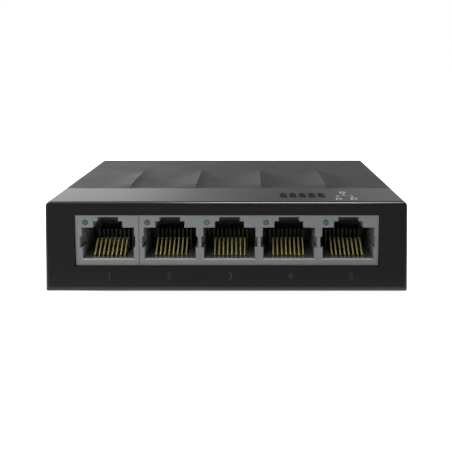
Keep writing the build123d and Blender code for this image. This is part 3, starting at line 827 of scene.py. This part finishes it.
@dataclass
class Port:
    """One socket's wires, carrier and light."""

    number: int
    glow: float
    wire_count: int = 8
    wire_pitch: float = 1.0 * MM
    wire_wide: float = 0.36 * MM
    wire_thick: float = 0.30 * MM
    bend_radius: float = 1.2 * MM
    root: tuple[float, float] = (1.5 * MM, 8.85 * MM)
    knee: tuple[float, float] = (4.6 * MM, 11.9 * MM)
    tip: tuple[float, float] = (8.85 * MM, 10.44 * MM)
    ring_sides: int = 12
    bend_steps: int = 8
    end_inset: float = 0.22
    end_crown: float = 0.16

    def node(self, part: str) -> str:
        """Names one of this port's CAD nodes."""
        return f"port_{self.number}_{part}"

    def build(self, gold: bpy.types.Material, socket_front: float) -> None:
        """Makes the eight round contact wires, which stand for the plain ones.

        Args:
            gold: the wires' material.
            socket_front: Y of the socket's face.
        """
        low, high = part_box(self.node("contact_springs"))
        middle = (low.x + high.x) / 2
        shape = bmesh.new()
        for i in range(self.wire_count):
            offset = (i - (self.wire_count - 1) / 2) * self.wire_pitch
            self._add_wire(shape, middle + offset, socket_front)
        wires = add_piece(self.node("round_wires"), shape, gold, self.node("contacts"))
        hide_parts(self.node("contact_springs"))

    def dress(self) -> None:
        """Lights this port's lens."""
        low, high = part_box(self.node("light"))
        lens_middle = ((low.x + high.x) / 2, low.y, (low.z + high.z) / 2)
        dress_nodes(
            SignalLens(
                f"light_green_{self.number}", Tint(0.042, 0.085, 0.046), centre=lens_middle, glow=self.glow
            ),
            self.node("light"),
        )

    def _add_wire(self, shape: bmesh.types.BMesh, x: float, socket_front: float) -> None:
        """Draws one wire: straight up from its root, round the knee, and straight on to its free end.

        Args:
            shape: the mesh it goes into.
            x: the wire's place along the socket.
            socket_front: Y of the socket's face.
        """
        root, knee, tip = (Vector((x, socket_front + y, z)) for y, z in (self.root, self.knee, self.tip))
        rising, trailing = (knee - root).normalized(), (tip - knee).normalized()
        turn = rising.angle(trailing)
        cut = self.bend_radius * math.tan(turn / 2)
        bend_start, bend_end = knee - rising * cut, knee + trailing * cut
        inward = Vector((1, 0, 0)).cross(rising)
        if inward.dot(trailing) < 0:
            inward = -inward
        pivot = bend_start + inward * self.bend_radius
        facing = rising.to_track_quat("Z", "Y").to_matrix().to_4x4()
        aim = Matrix.Translation(root) @ facing
        ring = bmesh.ops.create_circle(
            shape, cap_ends=False, segments=self.ring_sides, radius=self.wire_thick / 2,
            matrix=Matrix.Identity(4),
        )["verts"]
        side = facing.inverted() @ Vector((1, 0, 0))
        wider = self.wire_wide / self.wire_thick
        stretched = (1.0, wider, 1.0, 1.0) if abs(side.x) < abs(side.y) else (wider, 1.0, 1.0, 1.0)
        across = Matrix.Diagonal(stretched)
        bmesh.ops.transform(shape, matrix=aim @ across, verts=ring)
        first = list(dict.fromkeys(edge for vert in ring for edge in vert.link_edges))
        ring = self._push(shape, first, bend_start - root)
        spun = bmesh.ops.spin(
            shape, geom=[*ring, *self._edges_of(ring)], cent=pivot, dvec=(0, 0, 0),
            axis=rising.cross(trailing).normalized(), angle=turn, steps=self.bend_steps, use_duplicate=False,
        )["geom_last"]
        ring = [item for item in spun if isinstance(item, bmesh.types.BMVert)]
        last = self._push(shape, self._edges_of(ring), tip - bend_end)
        for edges in (first, self._edges_of(last)):
            cap = bmesh.ops.edgeloop_fill(shape, edges=edges)["faces"]
            bmesh.ops.inset_region(
                shape, faces=cap, thickness=self.wire_thick * self.end_inset,
                depth=self.wire_thick * self.end_crown, use_even_offset=True,
            )

    @staticmethod
    def _edges_of(ring: list[bmesh.types.BMVert]) -> list[bmesh.types.BMEdge]:
        """Finds the edges between a ring's own points.

        Args:
            ring: the points.

        Returns:
            The edges that have both ends in the ring, in the order of the points.
        """
        inside = set(ring)
        return list(dict.fromkeys(
            edge for vert in ring for edge in vert.link_edges if edge.other_vert(vert) in inside
        ))

    @staticmethod
    def _push(
        shape: bmesh.types.BMesh, edges: list[bmesh.types.BMEdge], by: Vector
    ) -> list[bmesh.types.BMVert]:
        """Extrudes a ring of edges along a straight run.

        Args:
            shape: the mesh.
            edges: the ring.
            by: the run.

        Returns:
            The new ring's points.
        """
        made = bmesh.ops.extrude_edge_only(shape, edges=edges)["geom"]
        verts = [item for item in made if isinstance(item, bmesh.types.BMVert)]
        bmesh.ops.translate(shape, vec=by, verts=verts)
        return verts


@dataclass
class Sockets:
    """The two socket blocks and their five ports."""

    glows: tuple[float, ...] = (0.06, 0.04, 0.60, 0.25, 0.15)
    mouth_floor: float = 8.4 * MM
    grey: Tint = field(default_factory=lambda: Tint(0.146, 0.148, 0.152))
    gold: Tint = field(default_factory=lambda: Tint(0.62, 0.56, 0.21))

    def ports(self) -> list[Port]:
        """Lists the five ports."""
        return [Port(number, glow) for number, glow in enumerate(self.glows, start=1)]

    def build(self) -> None:
        """Makes every port's wires."""
        gold = self._gold_finish("wire_gold").make()
        socket_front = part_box("single_jack_housing")[0].y
        for port in self.ports():
            port.build(gold, socket_front)

    def dress(self) -> None:
        """Gives the blocks, carriers, wires and lights their finishes."""
        socket_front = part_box("single_jack_housing")[0].y
        # socket grey with painted shade darkening into each socket mouth, and a painted highlight four times
        # lighter on the sill lip
        dress_nodes(
            MouldedPlastic(
                "socket_grey", self.grey, roughness=0.5, specular=0.35, grain_size=0.2 * MM,
                grain_depth=0.004 * MM, tone_spread=0.06, inner_shade=0.6,
                inner_from=socket_front + 0.8 * MM, inner_to=socket_front + 3.5 * MM, sill_light=4.0,
                sill_front=socket_front, sill_top=self.mouth_floor,
            ),
            "single_jack_housing", "four_jack_housing",
        )
        ports = self.ports()
        # painted shade: the carrier's colour darkens towards the rear of the socket
        dress_nodes(
            MouldedPlastic(
                "carrier_painted_shade", Tint(0.12, 0.115, 0.09), roughness=0.5, specular=0.3, inner_shade=0.45,
                inner_from=socket_front + 3.5 * MM, inner_to=socket_front + 8.5 * MM,
            ),
            *(port.node("contact_carrier") for port in ports),
        )
        dress_nodes(self._gold_finish("tail_gold"), *(port.node("contact_tails") for port in ports))
        dress_nodes(
            DrawnMetal("lead_tin", Tint(0.62, 0.62, 0.60), roughness=0.3, along=(0.2, 0.2, 1.0)),
            "light_leads", "transformer_leads", "switch_chip_leads",
        )
        for port in ports:
            port.dress()

    def _gold_finish(self, name: str) -> DrawnMetal:
        """Describes the gold plating of the contact wires."""
        return DrawnMetal(
            name, self.gold, roughness=0.34, metal=0.62, line_depth=0.0003 * MM, along=(1.0, 0.08, 0.08),
            tone_spread=0.06, tarnish=Tint(0.30, 0.24, 0.11), tarnish_share=0.15,
        )


# ---------------------------------------------------------------- board and inlet


@dataclass
class Board:
    """The circuit board and what is soldered to it."""

    black: Tint = field(default_factory=lambda: Tint(0.014, 0.014, 0.015))

    def dress(self) -> None:
        """Gives the board and each kind of component its finish."""
        dress_nodes(SolderMask("board_green", Tint(0.012, 0.075, 0.030)), "circuit_board")
        dress_nodes(
            MouldedPlastic("transformer_black", self.black, roughness=0.55, grain_depth=0.01 * MM, dust=0.05),
            *(f"port_{number}_line_transformer" for number in range(1, 6)),
        )
        dress_nodes(
            MouldedPlastic("chip_black", self.black, roughness=0.42, grain_size=0.12 * MM, dust=0.05),
            "switch_chip", "memory_chip", "voltage_regulator",
        )
        dress_nodes(
            DrawnMetal("crystal_can", Tint(0.58, 0.58, 0.57), roughness=0.25, along=(0.1, 1.0, 1.0)),
            "clock_crystal",
        )
        dress_nodes(
            MouldedPlastic("ferrite_grey", Tint(0.055, 0.056, 0.058), roughness=0.6, tone_spread=0.25),
            "power_inductor",
        )
        dress_nodes(
            DrawnMetal("capacitor_can", Tint(0.66, 0.66, 0.68), roughness=0.34, along=(0.1, 0.1, 1.0)),
            "electrolytic_capacitors",
        )
        dress_nodes(
            MouldedPlastic("ceramic_tan", Tint(0.34, 0.22, 0.12), roughness=0.4, tone_spread=0.2),
            "chip_capacitors",
        )
        dress_nodes(
            MouldedPlastic("resistor_black", Tint(0.020, 0.020, 0.022), roughness=0.3, tone_spread=0.3),
            "chip_resistors",
        )


@dataclass
class Inlet:
    """The round power inlet in the rear wall."""

    black: Tint = field(default_factory=lambda: Tint(0.010, 0.010, 0.011))
    nickel: Tint = field(default_factory=lambda: Tint(0.62, 0.60, 0.56))

    def dress(self) -> None:
        """Gives the inlet's body, pin, spring and terminals their finishes."""
        dress_nodes(
            MouldedPlastic("inlet_black", self.black, roughness=0.36, grain_size=0.2 * MM, dust=0.03),
            "power_inlet_body",
        )
        dress_nodes(
            DrawnMetal("inlet_nickel", self.nickel, roughness=0.22, along=(1.0, 0.08, 1.0)),
            "power_inlet_pin", "power_inlet_leaf", "power_inlet_terminals",
        )


# ---------------------------------------------------------------- room


@dataclass(frozen=True)
class Softbox:
    """A square studio light, aimed at the object."""

    name: str
    place: tuple[float, float, float]
    size: float
    power: float
    mirrored: bool = True

    def hang(self) -> None:
        """Hangs the light and turns it to the object."""
        lamp = bpy.data.lights.new(self.name, "AREA")
        lamp.size = self.size
        lamp.energy = self.power
        light = bpy.data.objects.new(self.name, lamp)
        light.location = self.place
        light.rotation_euler = (-light.location).to_track_quat("-Z", "Y").to_euler()
        light.visible_glossy = self.mirrored
        bpy.context.scene.collection.objects.link(light)


@dataclass
class Room:
    """The pale floor, the soft light round the object, and the camera.

    The sweep gives the tone that shiny faces mirror, by bearing in degrees, 0 towards +Y and 90 towards +X. Over
    the fade's two heights in degrees it drops to upper_share, and over the crown's two the crown_tone comes on.
    """

    camera_at: tuple[float, float, float] = (4.79 * MM, -148.8 * MM, 54.96 * MM)
    camera_dip: float = 5.0
    camera_lens: float = 43.89
    camera_shift: tuple[float, float] = (-0.0471, -0.2691)
    floor_size: float = 6.0
    floor_tone: float = 0.50
    floor_glow: float = 0.92
    floor_mirrored: float = 0.175
    floor_mirrored_near: float = 1.0
    near_reach: tuple[float, float] = (-30.5 * MM, -27.5 * MM)
    sky_tone: float = 0.20
    sweep: tuple[tuple[float, float], ...] = (
        (-180, 0.25), (-90, 0.45), (-32, 1.30), (-18, 1.18), (-12, 1.02), (-5, 0.52), (1, 0.34), (6, 0.28),
        (13, 0.46), (30, 0.60), (90, 0.35), (180, 0.25),
    )
    sweep_top: float = 1.5
    upper_share: float = 0.40
    fade: tuple[float, float] = (18.0, 42.0)
    crown_tone: float = 1.3
    crown: tuple[float, float] = (58.0, 74.0)
    lights: tuple[Softbox, ...] = (
        Softbox("top_box", (0.06, -0.02, 0.62), 0.28, 2.4),
        Softbox("side_box", (-0.50, 0.42, 0.30), 0.50, 1.4),
        Softbox("front_box", (-0.10, -0.30, 0.44), 0.24, 0.4, mirrored=False),
        Softbox("rake_box", (-0.80, 0.04, 0.070), 0.05, 76.0, mirrored=False),
        Softbox("near_box", (-0.085, -0.085, 0.05), 0.03, 0.027, mirrored=False),
    )

    def build(self) -> None:
        """Makes the floor, the light and the camera."""
        self._add_floor()
        self._light_world()
        for light in self.lights:
            light.hang()
        self._add_camera()

    def _add_floor(self) -> None:
        """Lays a wide plain floor under the object."""
        shape = bmesh.new()
        bmesh.ops.create_grid(shape, x_segments=1, y_segments=1, size=self.floor_size / 2)
        mesh = bpy.data.meshes.new("floor")
        shape.to_mesh(mesh)
        shape.free()
        floor = bpy.data.objects.new("floor", mesh)
        bpy.context.scene.collection.objects.link(floor)
        material = bpy.data.materials.new("floor_white")
        material.use_nodes = True
        shader = material.node_tree.nodes["Principled BSDF"]
        shader.inputs["Base Color"].default_value = (self.floor_tone,) * 3 + (1.0,)
        shader.inputs["Roughness"].default_value = 1.0
        shader.inputs["Specular IOR Level"].default_value = 0.0
        shader.inputs["Emission Color"].default_value = WHITE
        shader.inputs["Emission Strength"].default_value = self.floor_glow
        graph = Graph(material.node_tree)
        ray = graph.add("ShaderNodeLightPath", {})
        where = graph.add("ShaderNodeTexCoord", {}).outputs["Object"]
        ahead = graph.add("ShaderNodeSeparateXYZ", {0: where}).outputs[1]
        shine = graph.span(ahead, *self.near_reach, self.floor_mirrored, self.floor_mirrored_near)
        mirrored = graph.add("ShaderNodeEmission", {"Color": WHITE, "Strength": shine})
        either = graph.add(
            "ShaderNodeMixShader", {0: ray.outputs["Is Glossy Ray"], 1: shader.outputs[0], 2: mirrored.outputs[0]}
        )
        graph.feed(material.node_tree.nodes["Material Output"].inputs["Surface"], either.outputs[0])
        mesh.materials.append(material)

    def _light_world(self) -> None:
        """Surrounds the object with plain soft light, brighter towards the rear left for its gloss."""
        world = bpy.data.worlds.new("studio")
        world.use_nodes = True
        world.node_tree.nodes.clear()
        graph = Graph(world.node_tree)
        direction = graph.add("ShaderNodeTexCoord", {}).outputs["Generated"]
        towards = graph.add("ShaderNodeSeparateXYZ", {0: direction})
        bearing = graph.math("ARCTAN2", towards.outputs[0], towards.outputs[1])
        turned = graph.math("ADD", graph.math("DIVIDE", bearing, 2 * math.pi), 0.5)
        ramp = graph.add("ShaderNodeValToRGB", {"Fac": turned})
        stops = ramp.color_ramp.elements
        while len(stops) < len(self.sweep):
            stops.new(0.5)
        for stop, (degrees, tone) in zip(stops, self.sweep):
            stop.position = (degrees + 180) / 360
            stop.color = (tone / self.sweep_top,) * 3 + (1.0,)
        rise = graph.math("ARCSINE", towards.outputs[2])
        least = self.sweep_top * self.upper_share
        fade = graph.span(rise, *map(math.radians, self.fade), self.sweep_top, least)
        around = graph.add("ShaderNodeVectorMath", {0: ramp.outputs[0], 3: fade}, operation="SCALE")
        crown = graph.span(rise, *map(math.radians, self.crown), 0.0, self.crown_tone)
        gloss = graph.add("ShaderNodeVectorMath", {0: around.outputs[0], 1: crown}, operation="ADD")
        ray = graph.add("ShaderNodeLightPath", {})
        seen = graph.blend(ray.outputs["Is Glossy Ray"], (self.sky_tone,) * 3 + (1.0,), gloss.outputs[0])
        plain = graph.blend(ray.outputs["Is Camera Ray"], seen, WHITE)
        sky = graph.add("ShaderNodeBackground", {"Color": plain})
        graph.add("ShaderNodeOutputWorld", {"Surface": sky.outputs[0]})
        bpy.context.scene.world = world

    def _add_camera(self) -> None:
        """Sets the camera up in front of the sockets, a little above the lid."""
        lens = bpy.data.cameras.new("camera")
        lens.lens = self.camera_lens
        lens.shift_x, lens.shift_y = self.camera_shift
        lens.clip_start, lens.clip_end = 0.005, 20.0
        camera = bpy.data.objects.new("camera", lens)
        camera.location = self.camera_at
        camera.rotation_euler = (math.radians(90 - self.camera_dip), 0.0, 0.0)
        bpy.context.scene.collection.objects.link(camera)
        bpy.context.scene.camera = camera
        bpy.context.scene.view_settings.view_transform = "Standard"


# ---------------------------------------------------------------- assembly


def main() -> None:
    """Builds and dresses every sub-assembly."""
    logging.basicConfig(level=logging.INFO, format="%(name)s: %(message)s")
    Room().build()
    for assembly in (Case(), Sockets(), Board(), Inlet()):
        LOG.info("assembly %s", type(assembly).__name__)
        if hasattr(assembly, "build"):
            assembly.build()
        assembly.dress()


if __name__ == "__main__":
    main()
